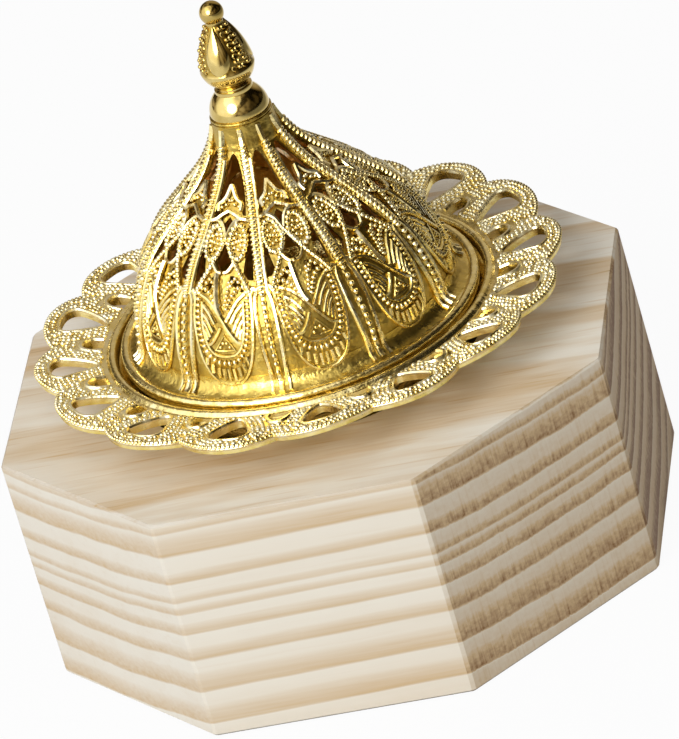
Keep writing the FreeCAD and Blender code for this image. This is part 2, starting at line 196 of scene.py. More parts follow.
# Wooden block: one flat-sawn blank of pale pine with its corners sawn off, sanded and left
# bare. The growth rings run the length of the block, round a heart far above and behind it.

HEART_Y = -28 * MM
HEART_Z = 153 * MM
RING_CLIMB = 0.0163
RING_START = 112
RING_STOP = 153
# dark edge of each ring, the width that darkens towards it, and how dark it gets
GROWTH_RINGS = [
    (113.6, 1.3, 0.6), (116.3, 1.2, 0.65), (120.4, 3.4, 0.95), (125.4, 1.9, 0.9), (129.1, 1.2, 0.7),
    (131.2, 1.2, 0.75), (134.9, 1.9, 0.85), (139.6, 2.2, 0.9), (145.6, 3.6, 0.95), (151.4, 3.3, 0.95)]
RING_EDGE = 0.3
OUTER_RING_PITCH = 4.6 * MM
RING_SWAY = 1.6 * MM
RING_SHAKE = 0.8 * MM
SAW_TEETH = 0.7 * MM
PINE_PALE = (0.82, 0.775, 0.675, 1.0)
PINE_DARK = (0.61, 0.44, 0.25, 1.0)
PINE_DEEP = (0.24, 0.12, 0.045, 1.0)


def ramp(tree, value, stops):
    """A colour ramp with these (place, colour) stops."""
    node = add_node(tree, "ValToRGB", {"Fac": value})
    band = node.color_ramp
    while len(band.elements) > 1:
        band.elements.remove(band.elements[-1])
    band.elements[0].position, band.elements[0].color = stops[0]
    for place, colour in stops[1:]:
        band.elements.new(place).color = colour
    return node


def grey(value):
    """A colour without hue."""
    return (value, value, value, 1.0)


def new_material(name):
    """A new material, its node tree and its surface shader."""
    material = bpy.data.materials.new(name)
    material.use_nodes = True
    tree = material.node_tree
    return material, tree, tree.nodes["Principled BSDF"]


def scaled(tree, vector, scale):
    """A place for noise, which is drawn out along an axis with a scale below 1."""
    return add_node(tree, "Mapping", {"Vector": vector, "Scale": scale}).outputs[0]


def noise(tree, vector, scale, detail=2.0, rough=0.5):
    """Cloudy noise from 0 to 1."""
    node = add_node(tree, "TexNoise", {
        "Vector": vector, "Scale": scale, "Detail": detail, "Roughness": rough})
    return node.outputs["Fac"]


pine, tree, surface = new_material("bare_pine")
place = add_node(tree, "TexCoord").outputs["Object"]
axes = add_node(tree, "SeparateXYZ", {0: place}).outputs
faced = add_node(tree, "SeparateXYZ", {
    0: add_node(tree, "TexCoord").outputs["Normal"]}).outputs

# how far each point lies from the heart of the log, with the sway of the rings and the saw's teeth
sway = noise(tree, scaled(tree, place, (0.3, 1.0, 1.0)), 45.0, 1.0)
shake = noise(tree, scaled(tree, place, (0.15, 1.0, 1.0)), 190.0, 3.0)
sawn_end = maths(tree, "MINIMUM", maths(tree, "MAXIMUM", faced["X"], 0.0), 0.72)
strokes = noise(tree, scaled(tree, place, (1.0, 1.0, 0.05)), 2200.0, 3.0, 0.6)
teeth = maths(tree, "MULTIPLY", maths(tree, "SUBTRACT", strokes, 0.5), sawn_end)
aside = maths(tree, "SUBTRACT", axes["Y"], HEART_Y)
below = maths(tree, "SUBTRACT", axes["Z"], HEART_Z)
reach = maths(tree, "SQRT", maths(
    tree, "ADD", maths(tree, "MULTIPLY", aside, aside), maths(tree, "MULTIPLY", below, below)))
reach = maths(tree, "MULTIPLY_ADD", axes["X"], RING_CLIMB, reach)
for wave, size in ((sway, RING_SWAY), (shake, RING_SHAKE)):
    reach = maths(tree, "ADD", reach, maths(tree, "MULTIPLY_ADD", wave, size, -size / 2))
reach = maths(tree, "MULTIPLY_ADD", teeth, SAW_TEETH, reach)

# late wood: drawn ring by ring where the photograph shows it, at an even pitch farther out
stops = [(0.0, grey(0.0))]
for edge, width, dark in GROWTH_RINGS:
    for at, shade in ((edge - width, 0.04), (edge, dark), (edge + RING_EDGE, 0.0)):
        stops.append(((at - RING_START) / (RING_STOP - RING_START), grey(shade)))
along = map_range(tree, reach, RING_START * MM, RING_STOP * MM)
inner_rings = ramp(tree, along, stops)
outer = maths(tree, "FRACT", maths(
    tree, "DIVIDE", maths(tree, "SUBTRACT", reach, (RING_STOP - 1.4) * MM), OUTER_RING_PITCH))
outer_rings = ramp(tree, outer, [
    (0.0, grey(0.0)), (0.6, grey(0.1)), (0.94, grey(0.85)), (1.0, grey(0.0))])
past = maths(tree, "GREATER_THAN", reach, (RING_STOP - 1.2) * MM)
late = add_node(tree, "Mix", {0: past, 2: inner_rings.outputs[0], 3: outer_rings.outputs[0]})
late = maths(tree, "POWER", late.outputs[0], maths(tree, "MULTIPLY_ADD", sawn_end, -0.48, 0.65))

# how dark the wood is: late wood in fibres, darker and toothed on the sawn ends, a little cloudy, and
# darkest on the far end face, partly end grain and partly painted shade
fibre = noise(tree, scaled(tree, place, (0.035, 1.0, 1.0)), 1500.0, 3.0)
cloud = noise(tree, scaled(tree, place, (0.35, 1.0, 1.0)), 38.0, 2.0)
depth = maths(tree, "MULTIPLY", late, maths(tree, "MULTIPLY_ADD", fibre, 0.8, 0.6))
depth = maths(tree, "MULTIPLY", depth, maths(tree, "MULTIPLY_ADD", sawn_end, 0.6, 0.84))
depth = maths(tree, "MULTIPLY_ADD", maths(tree, "MULTIPLY", teeth, late), 1.5, depth)
depth = maths(tree, "MULTIPLY_ADD", maths(tree, "ABSOLUTE", teeth), 0.5, depth)
depth = maths(tree, "ADD", depth, maths(tree, "MULTIPLY_ADD", cloud, 0.34, -0.13))
# painted shade, with the end grain: the far end face is darkened
far_end_painted_shade = maths(tree, "MAXIMUM", maths(tree, "SUBTRACT", faced["X"], 0.75), 0.0)
depth = maths(tree, "MULTIPLY_ADD", far_end_painted_shade, 1.6, depth)

# the sanded top also shows long streaks and short flecks
# how squarely a face looks up: it weighs both the sanding marks and the painted light on the top
top_marks_and_light = maths(tree, "MULTIPLY_ADD", maths(tree, "MAXIMUM", faced["Z"], 0.0), 0.8, 0.2)
streaks = noise(tree, scaled(tree, place, (0.13, 1.0, 1.0)), 210.0, 3.0, 0.6)
flecks = noise(tree, scaled(tree, place, (0.06, 1.0, 1.0)), 1100.0, 1.0)
marks = maths(tree, "ADD", map_range(tree, streaks, 0.46, 0.74, 0.0, 0.50),
                   map_range(tree, flecks, 0.60, 0.76, 0.0, 0.40))
depth = maths(tree, "MULTIPLY_ADD", marks, top_marks_and_light, depth)
tint = ramp(tree, maths(tree, "MULTIPLY", depth, 0.6), [
    (0.0, PINE_PALE), (0.6, PINE_DARK), (1.0, PINE_DEEP)])

# painted light makes the top lighter, and painted shade darkens the edges between faces and the faces
# that look down
painted_light_and_shade = maths(tree, "MULTIPLY_ADD", top_marks_and_light, 0.12, 0.91)
level_share = maths(tree, "ABSOLUTE", faced["Z"])
painted_arris_shade = maths(tree, "MULTIPLY", level_share, maths(tree, "SUBTRACT", 1.0, level_share))
painted_light_and_shade = maths(tree, "MULTIPLY_ADD", painted_arris_shade, -0.85, painted_light_and_shade)
painted_underside_shade = maths(tree, "MAXIMUM", maths(tree, "MULTIPLY", faced["Z"], -1.0), 0.0)
painted_light_and_shade = maths(tree, "MULTIPLY_ADD", painted_underside_shade, -0.42, painted_light_and_shade)
tint = add_node(tree, "VectorMath", {0: tint.outputs[0], "Scale": painted_light_and_shade}, operation="SCALE")
relief = add_node(tree, "Bump", {
    "Height": maths(tree, "ADD", fibre, late), "Strength": 0.25, "Distance": 0.05 * MM})
feed(surface, {"Base Color": tint.outputs[0], "Normal": relief.outputs[0], "Roughness": 0.62,
               "Specular IOR Level": 0.35})

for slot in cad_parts["wooden_base"].material_slots:
    slot.material = pine


# Dish: one gilt casting. A plain bowl stands in the recess of the block, and its mouth has a
# seat for the lid, a rolled rim and a flange of sixteen pierced petals covered with fine beads.

# the gilt's colours: the pale one is partly painted highlight, the shade one is partly painted shade,
# and the inside tint is painted bounce light
GILT_PALE = (0.96, 0.90, 0.65, 1.0)
GILT = (0.94, 0.79, 0.38, 1.0)
GILT_WORN = (0.77, 0.58, 0.15, 1.0)
GILT_SHADE = (0.36, 0.24, 0.045, 1.0)
GILT_INSIDE_BOUNCE_TINT = (0.82, 0.51, 0.19, 1.0)
PETALS = 16
RIM_RADIUS = 32.2
PETAL_ROOT_Z = 46.7
PETAL_TIP_Z = 48.9
TIP_DROP = 0.45
PETAL_TIP_RADIUS = 44.0
PETAL_NOTCH_RADIUS = 41.2
PETAL_ROOT_RADIUS = 31.6
PETAL_THICKNESS = 1.5
# how uneven the casting is: height of a wave at the tips, waves in a round, and turn in degrees
FLANGE_WAVES = [(0.26, 3, 250), (0.26, 9, 60)]

# each point's level comes from how far it stands out of its ground: the gilding is pale on the tops,
# partly handled wear and partly painted highlight, darker on the ground, partly patina and partly
# painted shade, tinted red-brown inside as painted bounce light, and the skin of the casting is rougher
# on the ground
gilt, tree, surface = new_material("gilt_casting")
place = add_node(tree, "TexCoord").outputs["Object"]
wear_and_painted_light = add_node(tree, "Attribute", attribute_name="wear_and_painted_light").outputs["Fac"]
patch = noise(tree, scaled(tree, place, (1.0, 1.0, 0.4)), 420.0, 3.0)
wear_and_light_level = maths(tree, "ADD", wear_and_painted_light, maths(tree, "MULTIPLY_ADD", patch, 0.8, -0.41))
wear_and_light_level = maths(tree, "MAXIMUM", wear_and_light_level, maths(tree, "MINIMUM", wear_and_painted_light, 0.06))
# painted highlight on the pale tops, painted shade on the dark ground, painted bounce light in the
# red-brown inside
colour = ramp(tree, wear_and_light_level, [
    (0.0, GILT_INSIDE_BOUNCE_TINT), (0.04, GILT_SHADE), (0.5, GILT_WORN), (0.8, GILT), (1.0, GILT_PALE)])
grain = noise(tree, place, 900.0, 3.0)
pits = noise(tree, place, 360.0, 3.0, 0.6)
rough = ramp(tree, wear_and_light_level, [(0.0, grey(0.32)), (0.5, grey(0.20)), (0.85, grey(0.16)), (1.0, grey(0.42))])
rough = maths(tree, "MULTIPLY_ADD", grain, 0.1, rough.outputs[0])
skin = maths(tree, "MULTIPLY_ADD", pits, 2.2, grain)
skin = maths(tree, "MULTIPLY", skin, maths(tree, "MULTIPLY_ADD", wear_and_painted_light, -1.3, 2.1))
cast_skin = add_node(tree, "Bump", {"Height": skin, "Strength": 0.55, "Distance": 0.15 * MM})
feed(surface, {"Base Color": colour.outputs[0], "Roughness": rough, "Normal": cast_skin.outputs[0],
               "Metallic": 1.0})


def select_only(piece):
    """Make this the one selected and active piece."""
    bpy.ops.object.select_all(action="DESELECT")
    piece.select_set(True)
    bpy.context.view_layer.objects.active = piece


def finish_piece(piece, material, height=None, smooth_angle=50):
    """Give a piece its smooth faces, its material and each point's level of wear and painted light and
    shade.
    """
    select_only(piece)
    bpy.ops.object.shade_smooth_by_angle(angle=radians(smooth_angle))
    piece.data.materials.clear()
    piece.data.materials.append(material)
    wear_and_painted_light = piece.data.attributes.new("wear_and_painted_light", "FLOAT", "POINT")
    for point, entry in zip(piece.data.vertices, wear_and_painted_light.data):
        entry.value = 1.0 if height is None else height(point.co / MM)


def three_point_arc(start, middle, stop, steps):
    """Points on the circle arc from start through middle to stop, both ends among them."""
    (ax, ay), (bx, by), (cx, cy) = start, middle, stop
    twice_area = 2 * (ax * (by - cy) + bx * (cy - ay) + cx * (ay - by))
    a2, b2, c2 = ax * ax + ay * ay, bx * bx + by * by, cx * cx + cy * cy
    ox = (a2 * (by - cy) + b2 * (cy - ay) + c2 * (ay - by)) / twice_area
    oy = (a2 * (cx - bx) + b2 * (ax - cx) + c2 * (bx - ax)) / twice_area
    first = atan2(ay - oy, ax - ox)
    mid = (atan2(by - oy, bx - ox) - first) % (2 * pi)
    last = (atan2(cy - oy, cx - ox) - first) % (2 * pi)
    if mid > last:
        last -= 2 * pi
    radius = hypot(ax - ox, ay - oy)
    return [(ox + radius * cos(first + last * i / steps), oy + radius * sin(first + last * i / steps))
            for i in range(steps + 1)]


def edit_all():
    """Edit the active piece, with all of it selected."""
    bpy.ops.object.mode_set(mode="EDIT")
    bpy.ops.mesh.select_all(action="SELECT")


def close_edit():
    """Turn the selected faces outwards and stop editing."""
    bpy.ops.mesh.normals_make_consistent(inside=False)
    bpy.ops.object.mode_set(mode="OBJECT")


def turned(name, outline, steps=160, closed=True):
    """A piece turned round the Z axis: a circle is extruded and widened or narrowed from point
    to point of the outline, given in millimetres as (radius, height). The ends of an outline
    that isn't closed are filled."""
    bpy.ops.mesh.primitive_circle_add(
        vertices=steps, radius=outline[0][0] * MM, location=(0.0, 0.0, outline[0][1] * MM))
    piece = bpy.context.object
    piece.name = name
    bpy.ops.object.transform_apply()
    edit_all()
    if not closed:
        bpy.ops.mesh.edge_face_add()
        bpy.ops.mesh.select_all(action="SELECT")
    for (radius, height), (next_radius, next_height) in zip(outline, outline[1:]):
        bpy.ops.mesh.extrude_region_move(
            TRANSFORM_OT_translate={"value": (0.0, 0.0, (next_height - height) * MM)})
        scale = next_radius / radius
        bpy.ops.transform.resize(value=(scale, scale, 1.0), center_override=(0.0, 0.0, 0.0))
    bpy.ops.mesh.select_all(action="SELECT")
    bpy.ops.mesh.remove_doubles(threshold=1e-6)
    close_edit()
    return piece


NEAR_AXIS = 0.3
BOWL_EDGE = 30.9
bowl_outline = (
    [(NEAR_AXIS, 28.0), (24.6, 28.0)]
    + three_point_arc((24.6, 28.0), (26.72, 28.88), (27.6, 31.0), 6)[1:]
    + [(29.0, 42.2), (31.6, 45.1), (33.0, 45.3)]
    + three_point_arc((33.6, 46.1), (32.9, 46.5), (32.3, 47.0), 5)
    + three_point_arc((32.3, 47.0), (31.55, 47.4), (30.95, 47.0), 8)[1:]
    + [(30.8, 46.7), (30.8, 45.5), (30.7, 45.4), (27.1, 45.4), (26.9, 45.2), (25.5, 33.0)]
    + three_point_arc((25.5, 33.0), (24.6, 30.9), (22.5, 30.0), 6)[1:]
    + [(NEAR_AXIS, 30.0)])
dish_bowl = turned("dish_bowl", bowl_outline, closed=False)
# the rim is paler than the bowl, partly wear and partly painted highlight
finish_piece(dish_bowl, gilt, lambda point: 0.74 if hypot(point.x, point.y) > BOWL_EDGE else 0.6)


def outline_cutter(points, low, high):
    """A prism with this outline, to be cut out of a flat plate."""
    bpy.ops.mesh.primitive_circle_add(vertices=len(points), fill_type="NGON")
    cutter = bpy.context.object
    for vertex, (x, y) in zip(cutter.data.vertices, points):
        vertex.co = (x, y, low)
    edit_all()
    bpy.ops.mesh.extrude_region_move(TRANSFORM_OT_translate={"value": (0.0, 0.0, high - low)})
    bpy.ops.mesh.select_all(action="SELECT")
    close_edit()
    return cutter


def thicken(piece, thickness):
    """Give a thin piece this thickness below its face."""
    body = piece.modifiers.new("thickness", "SOLIDIFY")
    body.thickness = thickness
    body.offset = -1.0
    bpy.ops.object.modifier_apply(modifier="thickness")


def pierced_plate(name, half_width, low, high, columns, rows, thickness, openings):
    """A flat plate, from low to high along Y, with its top face at zero and openings cut in it.
    It is worked at one metre to the millimetre, so that the cuts are exact."""
    bpy.ops.mesh.primitive_grid_add(x_subdivisions=columns, y_subdivisions=rows, size=1.0)
    plate = bpy.context.object
    plate.name = name
    for vertex in plate.data.vertices:
        vertex.co = (vertex.co.x * 2 * half_width, low + (vertex.co.y + 0.5) * (high - low), 0.0)
    thicken(plate, thickness)
    for points in openings:
        cutter = outline_cutter(points, -thickness - 1.0, 1.0)
        bpy.context.view_layer.objects.active = plate
        cut = plate.modifiers.new("opening", "BOOLEAN")
        cut.operation = "DIFFERENCE"
        cut.solver = "EXACT"
        cut.object = cutter
        bpy.ops.object.modifier_apply(modifier="opening")
        bpy.data.objects.remove(cutter, do_unlink=True)
    return plate


def mesh_piece(name, points, faces):
    """A new piece from points in metres and the faces between them."""
    mesh = bpy.data.meshes.new(name)
    mesh.from_pydata(points, [], faces)
    piece = bpy.data.objects.new(name, mesh)
    bpy.context.collection.objects.link(piece)
    return piece


def ring_of(name, bay, count, half_width, bend):
    """Copies of one flat bay, bent into place and joined round the axis, without their end faces."""
    from_bay = [tuple(v.co) for v in bay.data.vertices]
    faces = [tuple(f.vertices) for f in bay.data.polygons
             if not all(abs(abs(from_bay[i][0]) - half_width) < 1e-5 for i in f.vertices)]
    points = []
    ring_faces = []
    for copy in range(count):
        first = len(points)
        points += [bend(copy, *point) for point in from_bay]
        ring_faces += [tuple(i + first for i in face) for face in faces]
    ring = mesh_piece(name, points, ring_faces)
    bpy.data.objects.remove(bay, do_unlink=True)
    select_only(ring)
    edit_all()
    bpy.ops.mesh.remove_doubles(threshold=2e-6)
    close_edit()
    return ring


PETAL_PITCH = 360 / PETALS
PETAL_HALF = PETAL_PITCH / 2
EYE_CENTRE = 39.9
EYE_HALF_WIDTH = 3.45
EYE_TOP = 41.8
EYE_FOOT = 33.9
SCALLOP_STEPS = 12


def petal_top(around, radius):
    """The height of the flange's upper face, this many degrees round from a notch. It climbs to
    the petals' tips, each petal is arched, and the casting is a little uneven."""
    share = (radius - RIM_RADIUS) / (PETAL_TIP_RADIUS - RIM_RADIUS)
    if share <= 0:
        return PETAL_ROOT_Z + (PETAL_TIP_Z - PETAL_ROOT_Z) * share
    arch = (0.1 + 0.4 * abs(sin(pi * around / PETAL_PITCH))) * sin(0.8 * pi * share)
    waves = [wave * sin(radians(count * around + turn)) for wave, count, turn in FLANGE_WAVES]
    return PETAL_ROOT_Z + (PETAL_TIP_Z - TIP_DROP - PETAL_ROOT_Z) * share + arch + sum(waves) * share


def on_petal(copy, angle, radius, lift):
    """A place over the flange in metres, by its petal, the angle from its middle and the radius."""
    around = PETAL_HALF + copy * PETAL_PITCH + angle
    turn = radians(around)
    return (radius * cos(turn) * MM, radius * sin(turn) * MM, (petal_top(around, radius) + lift) * MM)


def scallop_radius(angle):
    """The petal's outer edge: a flat round scallop between two notches."""
    across = PETAL_NOTCH_RADIUS * sin(radians(PETAL_HALF))
    deep = PETAL_TIP_RADIUS - PETAL_NOTCH_RADIUS * cos(radians(PETAL_HALF))
    bend = (across * across + deep * deep) / (2 * deep)
    centre = PETAL_TIP_RADIUS - bend
    turn = radians(angle)
    return centre * cos(turn) + sqrt(bend * bend - (centre * sin(turn)) ** 2)


def scallop_line(inset):
    """The petal's outer edge as (angle, radius), this far inside it."""
    angles = [step * PETAL_HALF / SCALLOP_STEPS for step in range(-SCALLOP_STEPS, SCALLOP_STEPS + 1)]
    return [(angle, scallop_radius(angle) - inset) for angle in angles]


def eye_outline(grow, steps=36):
    """The drop-shaped eye in the petal's (angle, radius), made larger all round by this much."""
    points = []
    for step in range(steps):
        turn = 2 * pi * step / steps
        rise = sin(turn)
        up = (EYE_TOP - EYE_CENTRE if rise > 0 else EYE_CENTRE - EYE_FOOT) + grow
        wide = abs(cos(turn)) ** 0.62 if rise > 0 else abs(cos(turn)) * (1.0 + 0.45 * rise)
        x = (EYE_HALF_WIDTH + grow) * (wide if cos(turn) > 0 else -wide)
        radius = EYE_CENTRE + up * rise
        points.append((degrees(x / radius), radius))
    return points


ARCH_FOOT = 33.2
ARCH_TOP = 36.8
arch_width = degrees(1.6 / 34.0)
arch_side = [(-arch_width, ARCH_FOOT), (-arch_width, 34.6), (-arch_width * 0.85, 35.5),
             (-arch_width * 0.5, 36.4), (0.0, ARCH_TOP)]
PAST_EDGE = PETAL_HALF + 1
petal_openings = [
    scallop_line(0.0) + [
        (PAST_EDGE, PETAL_NOTCH_RADIUS), (PAST_EDGE, PETAL_TIP_RADIUS + 4.0),
        (-PAST_EDGE, PETAL_TIP_RADIUS + 4.0), (-PAST_EDGE, PETAL_NOTCH_RADIUS)],
    eye_outline(0.0)]
for side in (-1, 1):
    half_arch = [(side * (PETAL_HALF + a), r) for a, r in arch_side]
    petal_openings.append([(side * PAST_EDGE, ARCH_FOOT)] + half_arch + [(side * PAST_EDGE, ARCH_TOP)])
petal_bay = pierced_plate("petal_bay", PETAL_HALF, PETAL_ROOT_RADIUS, PETAL_TIP_RADIUS + 1.0,
                          columns=20, rows=15, thickness=PETAL_THICKNESS, openings=petal_openings)
petal_flange = ring_of("petal_flange", petal_bay, PETALS, PETAL_HALF, on_petal)


def flange_wear_and_light(point):
    """The level of wear and painted light for a point in millimetres, from its height over the flange's
    face: paler on the bead tops, partly painted highlight, darker down between them, partly painted
    shade, and 0.58 on the lower face of the flange.
    """
    height = point.z - petal_top(degrees(atan2(point.y, point.x)), hypot(point.x, point.y))
    return 0.58 if height < -0.8 else min(1.0, max(0.1, 0.80 + height / 0.9))


finish_piece(petal_flange, gilt, flange_wear_and_light, smooth_angle=35)


def smooth_line(points, steps=6):
    """A smooth line through these points."""
    ends = [tuple(2 * a - b for a, b in zip(points[0], points[1]))] + list(points)
    ends.append(tuple(2 * a - b for a, b in zip(points[-1], points[-2])))
    line = []
    for p0, p1, p2, p3 in zip(ends, ends[1:], ends[2:], ends[3:]):
        for i in range(steps):
            t = i / steps
            line.append(tuple(
                0.5 * (2 * b + (c - a) * t + (2 * a - 5 * b + 4 * c - d) * t * t
                       + (3 * b - a - 3 * c + d) * t ** 3) for a, b, c, d in zip(p0, p1, p2, p3)))
    return line + [tuple(points[-1])]


def wires(name, lines):
    """Round wires laid along lines: each is (points in metres, radius in millimetres, closed)."""
    curve = bpy.data.curves.new(name, "CURVE")
    curve.dimensions = "3D"
    curve.bevel_depth = MM
    curve.bevel_resolution = 1
    curve.use_fill_caps = True
    for points, radius, closed in lines:
        spline = curve.splines.new("POLY")
        spline.points.add(len(points) - 1)
        for entry, point in zip(spline.points, points):
            entry.co = (*point, 1.0)
            entry.radius = radius
        spline.use_cyclic_u = closed
    wire = bpy.data.objects.new(name, curve)
    bpy.context.collection.objects.link(wire)
    select_only(wire)
    bpy.ops.object.convert(target="MESH")
    return bpy.context.object


bpy.ops.mesh.primitive_uv_sphere_add(segments=8, ring_count=6, radius=1.0)
bead = bpy.context.object
edit_all()
bpy.ops.mesh.bisect(plane_co=(0.0, 0.0, -0.3), plane_no=(0.0, 0.0, -1.0), clear_outer=True,
                    use_fill=True)
bpy.ops.object.mode_set(mode="OBJECT")
bead_points = [v.co.copy() for v in bead.data.vertices]
bead_faces = [tuple(f.vertices) for f in bead.data.polygons]
bpy.data.objects.remove(bead, do_unlink=True)


def beads(name, seats):
    """Half-round beads on their seats, each (place, along, out, half length, half width, height)."""
    points = []
    faces = []
    for place, along, out, half_length, half_width, height in seats:
        along = (along - out * along.dot(out)).normalized()
        aside = out.cross(along)
        first = len(points)
        points += [place + along * p.x * half_length * MM + aside * p.y * half_width * MM
                   + out * p.z * height * MM for p in bead_points]
        faces += [tuple(i + first for i in face) for face in bead_faces]
    return mesh_piece(name, points, faces)


def steps_along(line, pitch, closed=False):
    """Places one pitch apart along a line of points in metres, with the line's direction there."""
    line = [Vector(p) for p in line]
    if closed:
        line.append(line[0])
    lengths = [(b - a).length for a, b in zip(line, line[1:])]
    total = sum(lengths)
    count = max(1, round(total / (pitch * MM)))
    places = []
    run = 0.0
    index = 0
    for step in range(count if closed else count + 1):
        target = total * step / count
        while index < len(lengths) - 1 and run + lengths[index] < target:
            run += lengths[index]
            index += 1
        share = (target - run) / lengths[index] if lengths[index] else 0.0
        places.append((line[index].lerp(line[index + 1], share),
                       (line[index + 1] - line[index]).normalized()))
    return places


BEAD_ROWS = 5
BEAD_PITCH = 0.86
FLANGE_SLOPE = 0.17
edge_lines = []
grain_seats = []
chance = Random(16)
arch_rim = smooth_line([(PETAL_HALF + a * 1.2, r + 0.2) for a, r in arch_side], 4)
for copy in range(PETALS):
    # a rolled edge with one row of beads on it, and rims round the eye and round the arch
    scallop = [on_petal(copy, a, r, -0.45) for a, r in scallop_line(0.2)]
    edge_lines.append((scallop, 0.5, False))
    for place, along in steps_along(scallop, 0.74):
        out = (Vector((place.x, place.y, 0.0)).normalized() + Vector((0.0, 0.0, 1.6))).normalized()
        grain_seats.append((place + out * 0.26 * MM, along, out, 0.38, 0.42, 0.46))
    edge_lines.append(([on_petal(copy, a, r, -0.12) for a, r in eye_outline(0.15)], 0.34, True))
    arch = [on_petal(copy, a, r, 0.0) for a, r in arch_rim]
    arch += [on_petal(copy + 1, -a, r, 0.0) for a, r in reversed(arch_rim[:-1])]
    edge_lines.append((arch, 0.40, False))
    # rows of uneven beads round the eye
    for row in range(BEAD_ROWS):
        grow = 0.85 + BEAD_PITCH * row
        line = [on_petal(copy, a, r, 0.0) for a, r in eye_outline(grow, 72)]
        for place, along in steps_along(line, BEAD_PITCH, True):
            radius = hypot(place.x, place.y) / MM
            angle = degrees(atan2(place.y, place.x)) - PETAL_HALF - copy * PETAL_PITCH
            angle = (angle + 180) % 360 - 180
            side = (PETAL_HALF - abs(angle)) * radians(1) * radius
            in_arch = radius < ARCH_TOP + 0.8 and side < 2.1
            on_face = RIM_RADIUS + 1.1 <= radius <= scallop_radius(angle) - 0.35
            if side < 0.2 or in_arch or not on_face:
                continue
            out = Vector((-FLANGE_SLOPE * place.x, -FLANGE_SLOPE * place.y, radius * MM)).normalized()
            swell = chance.uniform(0.78, 1.22)
            place += along * chance.uniform(-0.18, 0.18) * MM
            grain_seats.append((place, along, out, 0.43 * swell, 0.40 * swell, 0.34 * swell ** 2))
petal_edges = wires("petal_edges", edge_lines)
petal_beads = beads("petal_beads", grain_seats)
finish_piece(petal_edges, gilt, lambda point: 0.92)
finish_piece(petal_beads, gilt, flange_wear_and_light)
for piece in (dish_bowl, petal_flange, petal_edges, petal_beads):
    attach(piece, "dish")
    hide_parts("dish")


# Lid: one gilt casting. A plain rounded ring carries a dome of ten like bays, pierced in its
# upper half, with beaded ribs between them and beaded scrollwork on each, and a plain neck.

BAYS = 10
BAY_PITCH = 360 / BAYS
BAY_HALF = BAY_PITCH / 2
# the dome's outline: a round shoulder, a cone and a hollow throat that runs into the neck
DOME_FOOT_Z = 48.0
DOME_RADIUS = 26.8
SHOULDER_LEAN = radians(48)
THROAT_RADIUS = 20.9
THROAT_TOP_LEAN = radians(13)
NECK_RADIUS = 5.01
CONE_LENGTH = ((DOME_RADIUS + THROAT_RADIUS) * cos(SHOULDER_LEAN) - THROAT_RADIUS * cos(THROAT_TOP_LEAN)
               - NECK_RADIUS) / sin(SHOULDER_LEAN)
SHOULDER_END = DOME_RADIUS * SHOULDER_LEAN
CONE_END = SHOULDER_END + CONE_LENGTH
ARC_CENTRE_R = (DOME_RADIUS + THROAT_RADIUS) * cos(SHOULDER_LEAN) - CONE_LENGTH * sin(SHOULDER_LEAN)
ARC_CENTRE_Z = (DOME_FOOT_Z + (DOME_RADIUS + THROAT_RADIUS) * sin(SHOULDER_LEAN)
                + CONE_LENGTH * cos(SHOULDER_LEAN))
GROUND = -0.75
SHELL = 0.9
SHELL_FOOT = -1.2
SHELL_TOP = 40.5
# millimetres on the flat bay to a degree round the dome
BAY_SCALE = 0.4


def dome_profile(climb):
    """The dome's outline at this climb along it from its foot: radius, height and lean."""
    if climb < 0:
        return DOME_RADIUS, DOME_FOOT_Z + climb, 0.0
    if climb <= SHOULDER_END:
        lean = climb / DOME_RADIUS
        return DOME_RADIUS * cos(lean), DOME_FOOT_Z + DOME_RADIUS * sin(lean), lean
    if climb <= CONE_END:
        run = climb - SHOULDER_END
        return (DOME_RADIUS * cos(SHOULDER_LEAN) - run * sin(SHOULDER_LEAN),
                DOME_FOOT_Z + DOME_RADIUS * sin(SHOULDER_LEAN) + run * cos(SHOULDER_LEAN), SHOULDER_LEAN)
    lean = SHOULDER_LEAN - (climb - CONE_END) / THROAT_RADIUS
    return ARC_CENTRE_R - THROAT_RADIUS * cos(lean), ARC_CENTRE_Z - THROAT_RADIUS * sin(lean), lean


def on_dome(angle, climb, lift=0.0):
    """A place on the dome in metres, by its angle round the axis in degrees and its climb."""
    radius, height, lean = dome_profile(climb)
    turn = radians(angle)
    radius += lift * cos(lean)
    return Vector((radius * cos(turn), radius * sin(turn), height + lift * sin(lean))) * MM


def off_dome(point):
    """How far outside the dome's outline a point in millimetres lies, and the face's lean there."""
    radius = hypot(point.x, point.y)
    up = point.z - DOME_FOOT_Z
    if up <= 0:
        return radius - DOME_RADIUS, 0.0
    if radius * sin(SHOULDER_LEAN) - up * cos(SHOULDER_LEAN) > 0:
        return hypot(radius, up) - DOME_RADIUS, atan2(up, radius)
    if up * cos(SHOULDER_LEAN) - radius * sin(SHOULDER_LEAN) <= CONE_LENGTH:
        return radius * cos(SHOULDER_LEAN) + up * sin(SHOULDER_LEAN) - DOME_RADIUS, SHOULDER_LEAN
    inward = ARC_CENTRE_R - radius
    down = ARC_CENTRE_Z - point.z
    return THROAT_RADIUS - hypot(inward, down), atan2(down, inward)


def lid_wear_and_light(point):
    """The level of wear and painted light for a point in millimetres, from how far it stands out of the
    dome's ground: darker on the ground, partly patina and partly painted shade, paler on the ornament,
    and below 0 on the inside, which takes the painted bounce light.
    """
    lift = off_dome(point)[0] - GROUND
    return -0.3 if lift < -0.3 else min(0.86, max(0.16, 0.16 + lift / 0.85))


def bend_bay(copy, x, y, z):
    """A place of the flat bay, bent on to the dome."""
    return on_dome(copy * BAY_PITCH + x / BAY_SCALE, y, GROUND + z)


def mirrored(points):
    """The same line on the other side of the bay's middle."""
    return [(-x, y) for x, y in points]


